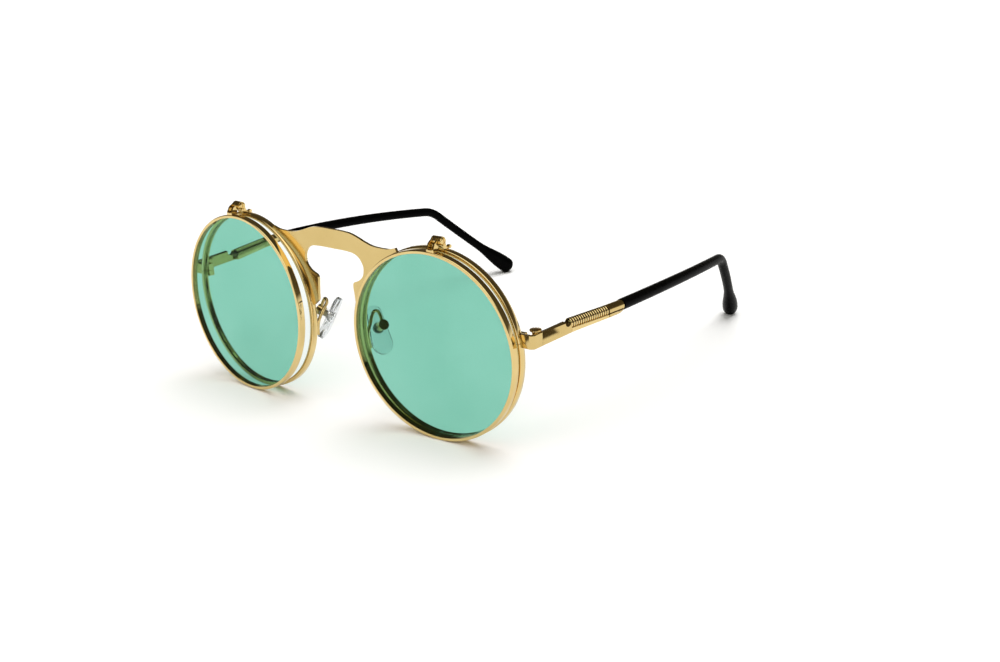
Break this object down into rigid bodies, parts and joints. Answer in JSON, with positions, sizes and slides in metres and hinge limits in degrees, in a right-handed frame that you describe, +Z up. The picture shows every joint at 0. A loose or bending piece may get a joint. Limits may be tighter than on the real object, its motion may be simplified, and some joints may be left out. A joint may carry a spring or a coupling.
{
  "type": "flip-up sunglasses",
  "caption": "Round gold wire-rim glasses with hinged tinted lenses that flip up over clear lenses, a cut-out bridge plate, nose pads and folding ribbed temples.",
  "frame": {"origin": "centre of the bounding box's footprint, on the table that the glasses stand on", "axes": "+Z up, -Y towards the lenses' outer side, +Y back towards the temple tips, +X towards the wearer's left"},
  "size_m": [0.1316, 0.1358, 0.0531],
  "materials": {
    "gold": "polished pale gold plating on a metal frame",
    "steel": "plain nickel silver",
    "tinted_lens": "smooth, green-blue tint",
    "clear_lens": "smooth, clear",
    "pad_plastic": "clear, glossy, soft",
    "sleeve": "black, satin"
  },
  "bodies": {
    "front": {"bridge_plate": "gold", "left_rim": "gold", "right_rim": "gold", "left_end_piece": "gold", "right_end_piece": "gold", "left_flip_base": "gold", "right_flip_base": "gold", "left_clear_lens": "clear_lens", "right_clear_lens": "clear_lens", "left_pad_arm": "gold", "right_pad_arm": "gold", "left_rim_lock_screw": "gold", "right_rim_lock_screw": "gold", "left_flip_screw": "gold", "right_flip_screw": "gold", "left_temple_screw": "gold", "right_temple_screw": "gold", "left_pad_screw": "steel", "right_pad_screw": "steel"},
    "left_flip": {"left_flip_rim": "gold", "left_tinted_lens": "tinted_lens", "left_flip_leaf": "gold"},
    "left_temple": {"left_temple_bar": "gold", "left_temple_grip": "gold", "left_temple_collar": "gold", "left_core_wire": "steel", "left_temple_tip": "sleeve"},
    "left_pad": {"left_nose_pad": "pad_plastic", "left_pad_core": "steel"},
    "right_flip": {"right_flip_rim": "gold", "right_tinted_lens": "tinted_lens", "right_flip_leaf": "gold"},
    "right_temple": {"right_temple_bar": "gold", "right_temple_grip": "gold", "right_temple_collar": "gold", "right_core_wire": "steel", "right_temple_tip": "sleeve"},
    "right_pad": {"right_nose_pad": "pad_plastic", "right_pad_core": "steel"}
  },
  "joints": [
    {"name": "left_flip_hinge", "type": "hinge", "parent": "front", "child": "left_flip", "pos_m": [0.03632, -0.0624, 0.05185], "axis": [-0.9976, -0.0698, -0.0008], "range_deg": [0, 95]},
    {"name": "left_temple_fold", "type": "hinge", "parent": "front", "child": "left_temple", "pos_m": [0.06016, -0.05615, 0.03007], "axis": [0, -0.0114, 0.9999], "range_deg": [0, 84]},
    {"name": "left_pad_rock", "type": "hinge", "parent": "front", "child": "left_pad", "pos_m": [0.01137, -0.05795, 0.0247], "axis": [0.3584, 0.9335, 0.0106], "range_deg": [-10, 10]},
    {"name": "right_flip_hinge", "type": "hinge", "parent": "front", "child": "right_flip", "pos_m": [-0.03632, -0.0624, 0.05185], "axis": [-0.9976, 0.0698, 0.0008], "range_deg": [-3, 92]},
    {"name": "right_temple_fold", "type": "hinge", "parent": "front", "child": "right_temple", "pos_m": [-0.06016, -0.05615, 0.03007], "axis": [0, 0.0114, -0.9999], "range_deg": [0, 80]},
    {"name": "right_pad_rock", "type": "hinge", "parent": "front", "child": "right_pad", "pos_m": [-0.01137, -0.05795, 0.0247], "axis": [-0.3584, 0.9335, 0.0106], "range_deg": [-10, 10]}
  ]
}
